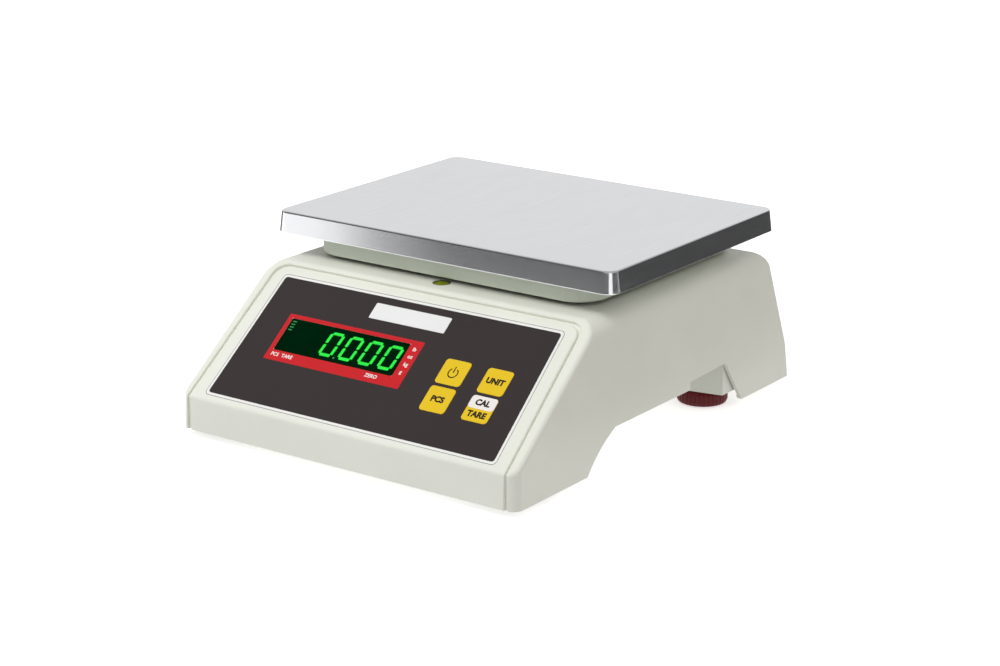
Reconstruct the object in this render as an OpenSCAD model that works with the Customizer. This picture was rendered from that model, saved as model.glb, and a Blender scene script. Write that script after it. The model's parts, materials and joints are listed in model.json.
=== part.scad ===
// Counting scale: plastic body on four levelling feet, sloping key and display panel,
// single-point load cell inside, and a stainless pan resting on a plastic platter support.
// Millimetres. X runs to the right, Y to the back, Z up. The origin is on the bench,
// under the middle of the scale.

/* [Body] */
// Width of the body along its lower rim
body_w = 276; // [270:1:280]
// Depth of the body along its lower rim
body_d = 339; // [336:1:344]
// Height of the flat top above the bench
body_top = 103.5; // [102:0.5:104.5]
// Gap between the lower rim and the bench
rim_gap = 5; // [4:0.5:6]
// Wall thickness of the plastic shells
wall = 2.6; // [2.2:0.1:3]
// Inward lean of the side walls, in degrees
side_draft = 2; // [1:0.5:3]
// Height of the upright front face
front_face_h = 23.3; // [22:0.1:25]
// Tilt of the front panel, in degrees
panel_tilt = 38.4; // [37.6:0.2:39.4]
// Radius along the top side edges
top_edge_r = 13; // [8:1:16]
// Radius between the top and the rear face
rear_edge_r = 18; // [12:1:24]

/* [Side arches] */
// Front end of the arch roof
arch_front_y = -50.5; // [-55:0.5:-42]
// Rear end of the arch roof
arch_rear_y = 80.5; // [78:0.5:84]
// Height of the arch roof at its front end
arch_front_z = 32.5; // [31:0.5:34]
// Height of the arch roof at its rear end
arch_rear_z = 36.7; // [35:0.1:37.4]

/* [Platter] */
// Width of the pan at the lower edge of its skirt
pan_w = 279; // [274:1:282]
// Depth of the pan at the lower edge of its skirt
pan_d = 209.5; // [204:0.5:212]
// Outward lean of the skirt over its height
pan_flare = 1.9; // [0:0.1:3]
// Depth of the pan's folded skirt
pan_skirt = 15; // [12:0.5:17]
// Sheet thickness of the pan
pan_sheet = 0.8; // [0.6:0.1:1.2]
// Height of the pan's top face above the bench
pan_top = 134; // [133.5:0.5:136]
// Distance from the middle of the body back to the middle of the pan
pan_y = 37.5; // [36:0.5:38]
// Width of the platter support
support_w = 230; // [220:1:236]
// Depth of the platter support
support_d = 190; // [184:1:192]
// Lower edge of the platter support
support_z = 106; // [105.5:0.5:107.5]
// How far the weighing platform sinks at full load
sink = 0.5; // [0.3:0.1:0.5]

/* [Panel] */
// Height of the printed panel sheet, up the slope
sheet_h = 104.6; // [102:0.2:106]
// Width of the printed panel sheet along its lower edge
sheet_w_low = 238.6; // [235:0.2:241]
// Width of the printed panel sheet along its upper edge
sheet_w_high = 231.4; // [228:0.2:234]
// Thickness of the printed panel sheet
sheet_t = 0.5; // [0.4:0.1:0.6]
// Width of the display window
window_w = 100; // [96:1:102]
// Height of the display window
window_h = 26.6; // [25:0.2:28]
// Width of a key
key_w = 20; // [18:0.5:20.5]
// Height of a key
key_h = 19.4; // [18:0.2:19.8]
// Travel of a key
key_travel = 0.5; // [0.3:0.1:0.5]

/* [Feet] */
// Diameter of a foot wheel
foot_d = 36; // [32:1:37]
// Distance of a foot from the middle plane
foot_x = 109.5; // [107:0.5:110.5]
// Distance of the rear feet behind the origin
rear_foot_y = 96.5; // [95.5:0.5:99]
// Distance of the front feet in front of the origin
front_foot_y = 129; // [127:0.5:130]
// Diameter of a foot stud
stud_d = 7.9; // [7.7:0.1:7.9]

/* [Load cell] */
// Length of the load cell
cell_l = 130; // [126:1:134]
// Width of the load cell
cell_w = 30; // [26:1:32]
// Height of the load cell
cell_h = 22; // [20:1:22]

/* [Hidden] */

$fn = 48;
eps = 0.01;

half_w = body_w / 2;
half_d = body_d / 2;
front_lean = 0.5;
rear_lower_z = 30;
rear_lower_lean = 3;
rear_slope = 20;

// Slope of the front panel: its lower edge and its upper edge
slope_y0 = -half_d + front_lean;
slope_z0 = rim_gap + front_face_h;
slope_run = (body_top - slope_z0) / tan(panel_tilt);
slope_y1 = slope_y0 + slope_run;
rear_top_y = half_d - rear_lower_lean - (body_top - rear_lower_z) * tan(rear_slope);

// Places on the panel: X across, Y up the slope from its lower edge, Z out of it
sheet_y = 4.6;
window_x = -38;
window_y = 62.8;
pane_t = 1.8;
board_front = -11;
board_t = 1.6;
board_x0 = -98;
board_x1 = 100;
board_y0 = 30;
board_y1 = 88;
board_hole_inset = 4;
board_holes = [for (x = [board_x0 + board_hole_inset, board_x1 - board_hole_inset],
  y = [board_y0 + board_hole_inset, board_y1 - board_hole_inset]) [x, y]];
key_gap = 0.3;
key_low = -0.45;
key_high = 0.35;
key_stem_d = 5;
key_stem_end = -4.4;
key_pocket = 1.1;
switch_gap = key_travel + 0.1;
key_centres = [[54.4, 62], [87.4, 62], [54.4, 40.4], [87.4, 40.4]];

// Bottom cover
cover_z = 27.5;
cover_t = 2.5;
cover_top = cover_z + cover_t;
cover_half_w = 133.8;
cover_y0 = -158.5;
cover_y1 = 161;
lip_top = 40;
lip_t = 2;
bay_x = 86;
bay_y = 40;
bay_roof = 37.5;
tower_z = 12;
tower_skew = 9;
tower_front = 22.5;
tower_back = 24;

// Feet
sole_t = 2.5;
sole_d = 24;
wheel_z0 = 0.8;
wheel_z1 = 11.7;
stud_z0 = 5;
stud_z1 = 34;
nut_z = 14.5;
nut_t = 6.5;
nut_flats = 13;
foot_signs = [[-1, -1], [1, -1], [-1, 1], [1, 1]];
foot_places = [for (s = foot_signs) [s[0] * foot_x, foot_y(s[1])]];

// Load cell stack, from the bottom cover up
plate_z = 34;
plate_t = 3;
plate_w = 150;
plate_d = 112;
plate_corners = [for (x = [-1, 1], y = [-1, 1]) [x * (plate_w / 2 - 10), pan_y + y * (plate_d / 2 - 10)]];
spacer_t = 4;
spacer_l = 30;
cell_z = plate_z + plate_t + spacer_t;
cell_hole_in = 9;
cell_hole_pitch = 12;
spider_z = cell_z + cell_h + spacer_t;
spider_t = 4;
post_x = 45;
post_y = 40;
post_d = 14;
post_top = 110;
post_hole_d = 22;
stop_x = 58;
stop_y = 30;
stop_gap = sink + 0.2;

// Platter support and pan
support_top = 130;
support_r = 22;
pan_under = pan_top - pan_sheet;
pan_corner_r = 8;
pan_edge_r = 1.2;
buffer_x = 95;
buffer_y = 75;

// Battery and its hatch
battery_y = 118.5;
battery_l = 100;
battery_s = 46;
bracket_posts = [[-62, battery_y], [62, battery_y]];
bracket_post_top = 36;
hatch_l = 108;
hatch_w = 52;
hatch_t = 1.5;
hatch_screws = [[2 - hatch_l / 2, battery_y], [hatch_l / 2 - 2, battery_y]];

// Charging inlet
inlet_x = 92;
inlet_z = 46;

level_y = -60;
level_d = 12.4;
level_floor = body_top - 8;

housing_screw_places = [[60, -148], [118, -45], [100, 145]];

shell_colour = [0.91, 0.92, 0.89];
steel_colour = [0.78, 0.79, 0.80];
zinc_colour = [0.70, 0.71, 0.72];

// Points of an arc of radius r about c, from angle a0 to a1
function arc(c, r, a0, a1, n = 8) =
  [for (i = [0:n]) c + r * [cos(a0 + (a1 - a0) * i / n), sin(a0 + (a1 - a0) * i / n)]];

// Points of the arc that rounds corner b between a and c with radius r
function corner(a, b, c, r, n = 8) =
  let (
    p = (a - b) / norm(a - b),
    q = (c - b) / norm(c - b),
    half = acos(p * q) / 2,
    mid = (p + q) / norm(p + q),
    centre = b + mid * r / sin(half),
    from = b + p * r / tan(half) - centre,
    to = b + q * r / tan(half) - centre,
    a0 = atan2(from[1], from[0]),
    turn = atan2(from[0] * to[1] - from[1] * to[0], from * to)
  )
  arc(centre, r, a0, a0 + turn, n);

// Closed outline with every corner rounded: each entry is [x, y, radius]
function rounded(pts, n = 8) =
  let (m = len(pts))
  [for (i = [0:m - 1])
    let (
      a = pts[(i + m - 1) % m],
      b = pts[i],
      c = pts[(i + 1) % m]
    )
    each (b[2] > 0
      ? corner([a[0], a[1]], [b[0], b[1]], [c[0], c[1]], b[2], n)
      : [[b[0], b[1]]])];

// Points of a quadratic curve from a to c, pulled towards b
function bend(a, b, c, n = 8) =
  [for (i = [0:n]) let (t = i / n) (1 - t) * (1 - t) * a + 2 * t * (1 - t) * b + t * t * c];

// Place of a foot along Y, where s is 1 at the rear and -1 at the front
function foot_y(s) = s > 0 ? rear_foot_y : -front_foot_y;

function side_x(z) = half_w - (z - rim_gap) * tan(side_draft);

// Outline of the body seen from the side, as [y, z]
side_outline = rounded([
  [-half_d, rim_gap, 0],
  [half_d, rim_gap, 0],
  [half_d - rear_lower_lean, rear_lower_z, 30],
  [rear_top_y, body_top, rear_edge_r],
  [slope_y1, body_top, 4],
  [slope_y0, slope_z0, 2]
]);

// Outline of the body seen from the front, as [x, z]
front_outline = rounded([
  [-half_w, rim_gap, 0],
  [half_w, rim_gap, 0],
  [side_x(body_top), body_top, top_edge_r],
  [-side_x(body_top), body_top, top_edge_r]
]);

// Outline of a side arch, as [y, z]: the front leg's curved edge, the rising roof and
// the slanted front edge of the rear leg
arch_outline = concat(
  [[-90.5, rim_gap - 2]],
  bend([-90.5, rim_gap], [-75.5, 23], [arch_front_y, arch_front_z]),
  corner([arch_front_y, arch_front_z], [arch_rear_y, arch_rear_z], [103, rim_gap], 4),
  [[102.5, rim_gap], [103, rim_gap - 2]]
);

module block(size, at) {
  translate([at[0] - size[0] / 2, at[1] - size[1] / 2, at[2]]) cube(size);
}

module pillar(d, z0, z1, at = [0, 0]) {
  translate([at[0], at[1], z0]) cylinder(d = d, h = z1 - z0);
}

module bar_hex(flats, z0, z1, at = [0, 0]) {
  translate([at[0], at[1], z0]) cylinder(d = flats / cos(30), h = z1 - z0, $fn = 6);
}

module mirrored_x() {
  children();
  mirror([1, 0, 0]) children();
}

// Lies on the front panel: X across, Y up the slope, Z out of the panel
module on_panel() {
  translate([0, slope_y0, slope_z0]) rotate([panel_tilt, 0, 0]) children();
}

// Slab on the panel with rounded corners, from depth z0 to z1
module panel_slab(w, h, at, z0, z1, r = 2.5) {
  translate([at[0], at[1], z0]) linear_extrude(z1 - z0)
    polygon(rounded([
      [-w / 2, -h / 2, r],
      [w / 2, -h / 2, r],
      [w / 2, h / 2, r],
      [-w / 2, h / 2, r]
    ]));
}

// Printed sheet's outline, grown by g
module sheet_shape(g) {
  polygon(rounded([
    [-sheet_w_low / 2 - g, sheet_y - g, 2],
    [sheet_w_low / 2 + g, sheet_y - g, 2],
    [sheet_w_high / 2 + g, sheet_y + sheet_h + g, 2],
    [-sheet_w_high / 2 - g, sheet_y + sheet_h + g, 2]
  ]));
}

// Solid inside both outlines of the body, shrunk by g
module body_block(g) {
  intersection() {
    translate([-half_w, 0, 0]) rotate([90, 0, 90]) linear_extrude(body_w)
      offset(delta = -g) polygon(side_outline);
    translate([0, half_d, 0]) rotate([90, 0, 0]) linear_extrude(body_d)
      offset(delta = -g) polygon(front_outline);
  }
}

// Styling groove around the panel, on the slope and down the front face
groove_w = 1.6;
groove_deep = 1;
groove_x = 130.1;
groove_path = [[-groove_x, -1, 0], [groove_x, -1, 0], [125.8, 116.1, 10], [-125.8, 116.1, 10]];

module groove() {
  on_panel() translate([0, 0, -groove_deep]) linear_extrude(3) difference() {
    offset(delta = groove_w / 2) polygon(rounded(groove_path));
    offset(delta = -groove_w / 2) polygon(rounded(groove_path));
    translate([-half_w, -5]) square([body_w, 5]);
  }
  mirrored_x()
    block([groove_w, 2 * groove_deep + 2 * front_lean, front_face_h + 1], [groove_x, -half_d, rim_gap - 1]);
}

// Frame of the charging inlet: Z points out through the rear wall
module at_inlet() {
  wall_y = half_d - rear_lower_lean - (inlet_z - rear_lower_z) * tan(rear_slope);
  translate([inlet_x, wall_y, inlet_z]) rotate([rear_slope - 90, 0, 0]) children();
}

module upper_housing() {
  color(shell_colour) difference() {
    body_block(0);
    // hollow inside, with bosses for the board, the cover screws and the spirit level
    difference() {
      body_block(wall);
      on_panel() for (p = board_holes) pillar(6, board_front, 0, p);
      for (p = housing_screw_places) mirrored_x() pillar(8, cover_top, body_top, p);
      pillar(18, level_floor - 3, body_top, [0, level_y]);
    }
    // open underside between the walls
    block([body_w - 2 * wall - 2, body_d - 2 * wall - 4, wall + 1], [0, 0, rim_gap - 1]);
    // arches through both side walls
    translate([-half_w - 1, 0, 0]) rotate([90, 0, 90]) linear_extrude(body_w + 2) polygon(arch_outline);
    groove();
    on_panel() {
      // shallow seat for the printed sheet
      translate([0, 0, -sheet_t]) linear_extrude(3) sheet_shape(0);
      // window seat and opening
      panel_slab(window_w, window_h, [window_x, window_y], -pane_t, 1, 1);
      panel_slab(window_w - 4, window_h - 3, [window_x, window_y], -6, 1, 1);
      for (c = key_centres) {
        panel_slab(key_w + 1, key_h + 1, c, -key_pocket, 1);
        pillar(key_stem_d + 2, -6, 1, c);
      }
      for (p = board_holes) pillar(2.2, board_front - 1, -4, p);
    }
    for (p = housing_screw_places) mirrored_x() pillar(2.8, cover_top - 1, cover_top + 9, p);
    for (x = [-post_x, post_x], y = [-post_y, post_y]) pillar(post_hole_d, 90, body_top + 5, [x, pan_y + y]);
    pillar(level_d + 0.2, level_floor - 1, body_top + 5, [0, level_y]);
    at_inlet() pillar(11.2, -12, 5);
  }
}

// Plan outline of a foot tower about its foot, for the right-hand side
function tower_outline(g, s) = [
  [bay_x - foot_x + g, -s * (tower_front - g)],
  [cover_half_w - foot_x - g, -s * (tower_front - tower_skew - g)],
  [cover_half_w - foot_x - g, s * (tower_back - g)],
  [bay_x - foot_x + g, s * (tower_back - g)]
];

module tower_shape(g, s) {
  polygon(tower_outline(g, s));
}

// Hollow leg of the cover above a foot; s is 1 at the rear and -1 at the front
module foot_tower(s, top) {
  translate([foot_x, foot_y(s), 0]) difference() {
    union() {
      difference() {
        translate([0, 0, tower_z]) linear_extrude(top - tower_z) tower_shape(0, s);
        translate([0, 0, tower_z + cover_t]) linear_extrude(top) tower_shape(cover_t, s);
      }
      pillar(20, tower_z + cover_t - eps, nut_z + nut_t + 3);
    }
    pillar(stud_d + 1, 0, nut_z + nut_t + 10);
    bar_hex(nut_flats, nut_z, nut_z + nut_t + 10);
  }
}

// Raised bay in front of a rear foot, which gives a finger room to turn the wheel
module finger_bay() {
  bay_end = rear_foot_y - tower_front + 4;
  difference() {
    translate([bay_x - cover_t, bay_y - cover_t, cover_z])
      cube([cover_half_w - bay_x + cover_t, bay_end - bay_y + cover_t, bay_roof + cover_t - cover_z]);
    translate([bay_x, bay_y, cover_z - 1]) cube([50, 60, bay_roof - cover_z + 1]);
  }
}

module bottom_cover() {
  color(shell_colour) difference() {
    union() {
      difference() {
        union() {
          translate([0, 0, cover_z]) linear_extrude(cover_t) polygon(rounded([
            [-cover_half_w, cover_y0, 6],
            [cover_half_w, cover_y0, 6],
            [cover_half_w, cover_y1, 6],
            [-cover_half_w, cover_y1, 6]
          ]));
          mirrored_x()
            translate([cover_half_w - lip_t, -75, cover_z]) cube([lip_t, bay_y + 75, lip_top - cover_z]);
        }
        mirrored_x() {
          translate([bay_x, bay_y, 0]) cube([60, 50, lip_top + 10]);
          for (s = [-1, 1])
            translate([foot_x, foot_y(s), 0]) linear_extrude(60) tower_shape(eps, s);
        }
        block([hatch_l - 8, hatch_w - 6, 20], [0, battery_y, cover_z - 5]);
        block([hatch_l, hatch_w, hatch_t + 1], [0, battery_y, cover_z - 1]);
      }
      mirrored_x() {
        finger_bay();
        foot_tower(-1, cover_top);
        foot_tower(1, bay_roof + cover_t);
      }
      for (p = plate_corners) pillar(12, cover_top - eps, plate_z, p);
      for (p = bracket_posts) pillar(10, cover_top - eps, bracket_post_top, p);
    }
    for (p = plate_corners) pillar(3.2, cover_z - 1, plate_z + 1, p);
    for (p = bracket_posts) pillar(2.6, cover_top, bracket_post_top + 1, p);
    for (p = housing_screw_places) mirrored_x() pillar(3.6, cover_z - 1, cover_top + 1, p);
    for (p = hatch_screws) pillar(2.6, cover_z - 1, cover_top + 1, p);
  }
}

// Pan-head screw that goes up from z, with its head below z
module screw_up(d, head_d, head_h, length, z, at) {
  pillar(head_d, z - head_h, z, at);
  pillar(d, z - eps, z + length, at);
}

module housing_screws() {
  color(zinc_colour) for (p = housing_screw_places) mirrored_x()
    screw_up(2.7, 6, 2.2, 10, cover_z, p);
}

module foot_nuts() {
  color(zinc_colour) for (at = foot_places) difference() {
    bar_hex(nut_flats - 0.1, nut_z, nut_z + nut_t, at);
    pillar(stud_d + 0.1, nut_z - 1, nut_z + nut_t + 1, at);
  }
}

module foot_wheel(i) {
  edge = 1.2;
  color([0.42, 0.03, 0.06]) translate(foot_places[i]) difference() {
    union() {
      translate([0, 0, wheel_z0]) cylinder(d1 = foot_d - 2 * edge, d2 = foot_d, h = edge, $fn = 72);
      translate([0, 0, wheel_z0 + edge]) cylinder(d = foot_d, h = wheel_z1 - wheel_z0 - 2 * edge, $fn = 72);
      translate([0, 0, wheel_z1 - edge]) cylinder(d1 = foot_d, d2 = foot_d - 2 * edge, h = edge, $fn = 72);
    }
    pillar(sole_d + 1, 0, sole_t);
    pillar(stud_d + 0.04, stud_z0, wheel_z1 + 1);
  }
}

module foot_stud(i) {
  color(zinc_colour) pillar(stud_d, stud_z0, stud_z1, foot_places[i]);
}

module foot_sole(i) {
  color([0.12, 0.12, 0.12]) pillar(sole_d, 0, sole_t, foot_places[i]);
}

module panel_sheet() {
  color([0.24, 0.21, 0.22]) on_panel() difference() {
    translate([0, 0, -sheet_t]) linear_extrude(sheet_t) sheet_shape(0);
    panel_slab(window_w, window_h, [window_x, window_y], -1, 1, 1);
    for (c = key_centres) panel_slab(key_w + 2 * key_gap, key_h + 2 * key_gap, c, -1, 1, 2.8);
  }
}

module badge_plate() {
  color([0.93, 0.93, 0.93]) on_panel() panel_slab(62, 12.6, [0, 95], 0, 0.3, 1);
}

module display_window() {
  color([0.02, 0.10, 0.06]) on_panel()
    panel_slab(window_w, window_h, [window_x, window_y], -pane_t, -0.05, 1);
}

module led_display() {
  color([0.15, 0.16, 0.15]) on_panel()
    panel_slab(window_w - 6, window_h - 5, [window_x, window_y], board_front, -3, 0.5);
}

module main_board() {
  color([0.05, 0.35, 0.15]) on_panel() difference() {
    translate([board_x0, board_y0, board_front - board_t])
      cube([board_x1 - board_x0, board_y1 - board_y0, board_t]);
    for (p = board_holes) pillar(2.6, board_front - 5, 0, p);
  }
}

module board_screws() {
  color(zinc_colour) on_panel()
    for (p = board_holes) screw_up(2.1, 5, 1.6, 6, board_front - board_t, p);
}

// Tact switches on the board, one behind each key
module key_switches() {
  color([0.13, 0.13, 0.14]) on_panel() for (c = key_centres) {
    panel_slab(6, 6, c, board_front, -7, 0.4);
    pillar(3.5, -7 - eps, key_stem_end - switch_gap, c);
  }
}

module board_connectors() {
  color([0.90, 0.89, 0.84]) on_panel() for (x = [-70, 70])
    panel_slab(14, 6, [x, 58], board_front - board_t - 7, board_front - board_t, 0.5);
}

module key(i, colour) {
  color(colour) on_panel() {
    panel_slab(key_w, key_h, key_centres[i], key_low, key_high);
    pillar(key_stem_d, key_stem_end, key_low + eps, key_centres[i]);
  }
}

module power_key() key(0, [0.92, 0.78, 0.13]);
module unit_key() key(1, [0.92, 0.78, 0.13]);
module pieces_key() key(2, [0.92, 0.78, 0.13]);
module tare_key() key(3, [0.92, 0.78, 0.13]);

module spirit_level_cup() {
  color([0.18, 0.20, 0.16]) difference() {
    pillar(level_d, level_floor, body_top, [0, level_y]);
    pillar(level_d - 2, level_floor + 1.5, body_top + 1, [0, level_y]);
  }
}

module spirit_level_vial() {
  color([0.62, 0.72, 0.12]) pillar(level_d - 2, level_floor + 1.5, body_top - 0.4, [0, level_y]);
}

module dc_inlet() {
  color([0.08, 0.08, 0.08]) at_inlet() difference() {
    union() {
      pillar(14, 0, 1.4);
      pillar(11, -12, eps);
    }
    difference() {
      pillar(5.6, -9, 2);
      pillar(2, -10, 0.4);
    }
  }
}

module dc_inlet_nut() {
  color(zinc_colour) at_inlet() difference() {
    bar_hex(14, -wall - 2.5, -wall);
    pillar(11.1, -10, 2);
  }
}

module battery() {
  color([0.16, 0.17, 0.19]) {
    block([battery_l, battery_s, battery_s], [0, battery_y, cover_top]);
    for (y = [-15, 15]) block([0.8, 6.3, 7], [battery_l / 2 - 8, battery_y + y, cover_top + battery_s - eps]);
  }
}

// Steel strap over the battery, screwed to two posts of the cover
module battery_bracket() {
  strap_w = 18;
  strap_t = 1.2;
  reach = 51.5;
  top = cover_top + battery_s + 0.5;
  color(steel_colour) difference() {
    union() {
      block([2 * reach, strap_w, strap_t], [0, battery_y, top]);
      mirrored_x() {
        translate([reach - strap_t, battery_y - strap_w / 2, bracket_post_top]) {
          cube([strap_t, strap_w, top - bracket_post_top + strap_t]);
          cube([17, strap_w, strap_t]);
        }
      }
    }
    for (p = bracket_posts) pillar(3.4, bracket_post_top - 1, bracket_post_top + 2, p);
  }
}

module battery_bracket_screws() {
  strap_top = bracket_post_top + 1.2;
  color(zinc_colour) for (p = bracket_posts) {
    pillar(6, strap_top, strap_top + 2, p);
    pillar(2.5, cover_top + 1, strap_top + eps, p);
  }
}

module battery_cover() {
  color(shell_colour) difference() {
    union() {
      block([hatch_l - 0.4, hatch_w - 0.4, hatch_t - 0.05], [0, battery_y, cover_z]);
      block([hatch_l - 8.6, hatch_w - 6.6, cover_t], [0, battery_y, cover_z]);
    }
    for (p = hatch_screws) pillar(3, cover_z - 1, cover_top + 1, p);
  }
}

module battery_cover_screws() {
  color(zinc_colour) for (p = hatch_screws) screw_up(2.5, 3.6, 1.8, cover_t, cover_z, p);
}

cell_fixed_x = -(cell_l / 2 - cell_hole_in - cell_hole_pitch / 2);
cell_free_x = -cell_fixed_x;

function cell_holes(x) = [[x - cell_hole_pitch / 2, pan_y], [x + cell_hole_pitch / 2, pan_y]];

stop_places = [for (x = [-stop_x, stop_x], y = [-stop_y, stop_y]) [x, pan_y + y]];

module cell_plate() {
  color(steel_colour) difference() {
    block([plate_w, plate_d, plate_t], [0, pan_y, plate_z]);
    for (p = plate_corners) pillar(4.5, plate_z - 1, 50, p);
    for (p = cell_holes(cell_fixed_x)) pillar(6.4, plate_z - 1, 50, p);
    for (p = stop_places) pillar(5, plate_z - 1, 50, p);
  }
}

module cell_plate_screws() {
  color(zinc_colour) for (p = plate_corners) {
    pillar(7, plate_z + plate_t, plate_z + plate_t + 2.4, p);
    pillar(3.1, cover_z, plate_z + plate_t + eps, p);
  }
}

module spacer(x, z) {
  difference() {
    block([spacer_l, cell_w, spacer_t], [x, pan_y, z]);
    for (p = cell_holes(x)) pillar(6.4, z - 1, z + spacer_t + 1, p);
  }
}

module lower_spacer() {
  color([0.80, 0.81, 0.82]) spacer(cell_fixed_x, plate_z + plate_t);
}

module lower_cell_screws() {
  color(zinc_colour) for (p = cell_holes(cell_fixed_x)) {
    bar_hex(9, plate_z - 3.6, plate_z, p);
    pillar(6, plate_z - eps, cell_z + 12, p);
  }
}

// Screws that stop the platform before the load cell is overloaded
module overload_stops() {
  color(zinc_colour) for (p = stop_places) {
    bar_hex(8, plate_z - 3, plate_z, p);
    pillar(4.9, plate_z - eps, spider_z - stop_gap, p);
    bar_hex(8, plate_z + plate_t, plate_z + plate_t + 4, p);
  }
}

// Single-point cell: a bar with two joined cross bores that make its bending flexures
module load_cell() {
  flexure = 11;
  color([0.82, 0.83, 0.85]) difference() {
    block([cell_l, cell_w, cell_h], [0, pan_y, cell_z]);
    for (x = [-flexure, flexure])
      translate([x, pan_y + cell_w / 2 + 1, cell_z + cell_h / 2]) rotate([90, 0, 0])
        cylinder(d = 17, h = cell_w + 2);
    block([2 * flexure, cell_w + 2, 9], [0, pan_y, cell_z + (cell_h - 9) / 2]);
    for (p = cell_holes(cell_fixed_x)) pillar(6.1, cell_z - 1, cell_z + 14, p);
    for (p = cell_holes(cell_free_x)) pillar(6.1, cell_z + 8, cell_z + cell_h + 1, p);
  }
}

// Round wire along a list of points, swept as one closed tube with mitred rings
module wire(d, pts) {
  sides = 10;
  last = len(pts) - 1;
  rings = [for (i = [0:last])
    let (
      before = i > 0 ? pts[i] - pts[i - 1] : pts[1] - pts[0],
      after = i < last ? pts[i + 1] - pts[i] : before,
      along = before / norm(before) + after / norm(after),
      t = along / norm(along),
      side = cross(t, [0, 0, 1]),
      u = side / norm(side),
      v = cross(u, t)
    )
    each [for (k = [0:sides - 1]) pts[i] + d / 2 * (cos(360 * k / sides) * u + sin(360 * k / sides) * v)]];
  walls = [for (i = [0:last - 1], k = [0:sides - 1])
    let (a = i * sides + k, b = i * sides + (k + 1) % sides)
    each [[a, b, b + sides], [a, b + sides, a + sides]]];
  low_cap = [for (k = [sides - 1:-1:0]) k];
  high_cap = [for (k = [0:sides - 1]) last * sides + k];
  polyhedron(rings, concat(walls, [low_cap, high_cap]));
}

module load_cell_cable() {
  color([0.45, 0.46, 0.48]) wire(4, [
    [-cell_l / 2, pan_y, cell_z + 11],
    [-84, pan_y, cell_z + 11],
    [-92, 20, 44],
    [-92, -70, 40],
    [-84, -102, 43],
    [-70, -110.5, 46.5]
  ]);
}

module power_leads() {
  color([0.65, 0.10, 0.08]) {
    wire(2.4, [[52, 132, 84], [70, 128, 84], [86, 60, 60], [88, 0, 48], [84, -90, 44], [72, -110, 46.5]]);
    wire(2.4, [[92, 145, 38], [80, 140, 50], [78, 120, 60], [83, 60, 54],
      [85, 0, 44], [78, -88, 40], [68, -110, 46.5]]);
  }
}

module upper_spacer() {
  color([0.80, 0.81, 0.82]) spacer(cell_free_x, cell_z + cell_h);
}

// Cast bracket that carries the platform on four posts through the housing
module spider() {
  arm = 22;
  reach = 72;
  color([0.72, 0.73, 0.75]) difference() {
    union() {
      block([2 * reach, 34, spider_t], [0, pan_y, spider_z]);
      for (x = [-post_x, post_x]) block([arm, 2 * post_y + arm, spider_t], [x, pan_y, spider_z]);
      for (x = [-stop_x, stop_x]) block([14, 2 * stop_y + 12, spider_t], [x, pan_y, spider_z]);
      for (x = [-post_x, post_x], y = [-post_y, post_y])
        pillar(post_d, spider_z + spider_t - eps, post_top, [x, pan_y + y]);
    }
    for (x = [-post_x, post_x], y = [-post_y, post_y])
      pillar(4, post_top - 12, post_top + 1, [x, pan_y + y]);
    for (p = cell_holes(cell_free_x)) pillar(6.4, spider_z - 1, spider_z + spider_t + 1, p);
  }
}

module upper_cell_screws() {
  color(zinc_colour) for (p = cell_holes(cell_free_x)) {
    bar_hex(9.5, spider_z + spider_t, spider_z + spider_t + 4, p);
    pillar(6, cell_z + 9, spider_z + spider_t + eps, p);
  }
}

// Block with upright corners of radius rc and an edge of radius re at its top or bottom
module soft_block(w, d, h, rc, re, soft_bottom) {
  hull() for (x = [-1, 1], y = [-1, 1])
    translate([x * (w / 2 - rc), y * (d / 2 - rc), 0])
      mirror([0, 0, soft_bottom ? 1 : 0]) translate([0, 0, soft_bottom ? -h : 0])
        rotate_extrude($fn = 40) polygon(concat(
          [[0, 0], [rc, 0]],
          arc([rc - re, h - re], re, 0, 90, 5),
          [[0, h]]
        ));
}

module platter_support() {
  h = support_top - support_z;
  rib_h = 12;
  rib_z = support_top - wall - rib_h + eps;
  color([0.82, 0.84, 0.79]) difference() {
    union() {
      difference() {
        translate([0, pan_y, support_z]) soft_block(support_w, support_d, h, support_r, 1.5, true);
        translate([0, pan_y, support_z - 1])
          soft_block(support_w - 2 * wall, support_d - 2 * wall, h + 1 - wall, support_r - wall, 1, false);
      }
      for (x = [-post_x, post_x], y = [-post_y, post_y])
        pillar(17, post_top, support_top - 1, [x, pan_y + y]);
      // stiffening ribs under the deck
      for (y = [-post_y, 0, post_y]) block([support_w - 4, 2, rib_h], [0, pan_y + y, rib_z]);
      for (x = [-post_x, 0, post_x]) block([2, support_d - 4, rib_h], [x, pan_y, rib_z]);
    }
    for (x = [-post_x, post_x], y = [-post_y, post_y]) {
      pillar(4.4, post_top - 1, support_top, [x, pan_y + y]);
      pillar(9.5, post_top + 4, support_top + 1, [x, pan_y + y]);
    }
    for (x = [-buffer_x, buffer_x], y = [-buffer_y, buffer_y])
      pillar(6, support_top - 10, support_top + 1, [x, pan_y + y]);
  }
}

module support_screws() {
  color(zinc_colour) for (x = [-post_x, post_x], y = [-post_y, post_y]) {
    pillar(8, post_top + 4, post_top + 7, [x, pan_y + y]);
    pillar(3.9, post_top - 10, post_top + 4 + eps, [x, pan_y + y]);
  }
}

// Rubber buffers that the pan rests on
module platter_buffers() {
  color([0.15, 0.15, 0.15]) for (x = [-buffer_x, buffer_x], y = [-buffer_y, buffer_y]) {
    pillar(16, support_top, pan_under, [x, pan_y + y]);
    pillar(5.9, support_top - wall - 1.5, support_top + eps, [x, pan_y + y]);
  }
}

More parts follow.
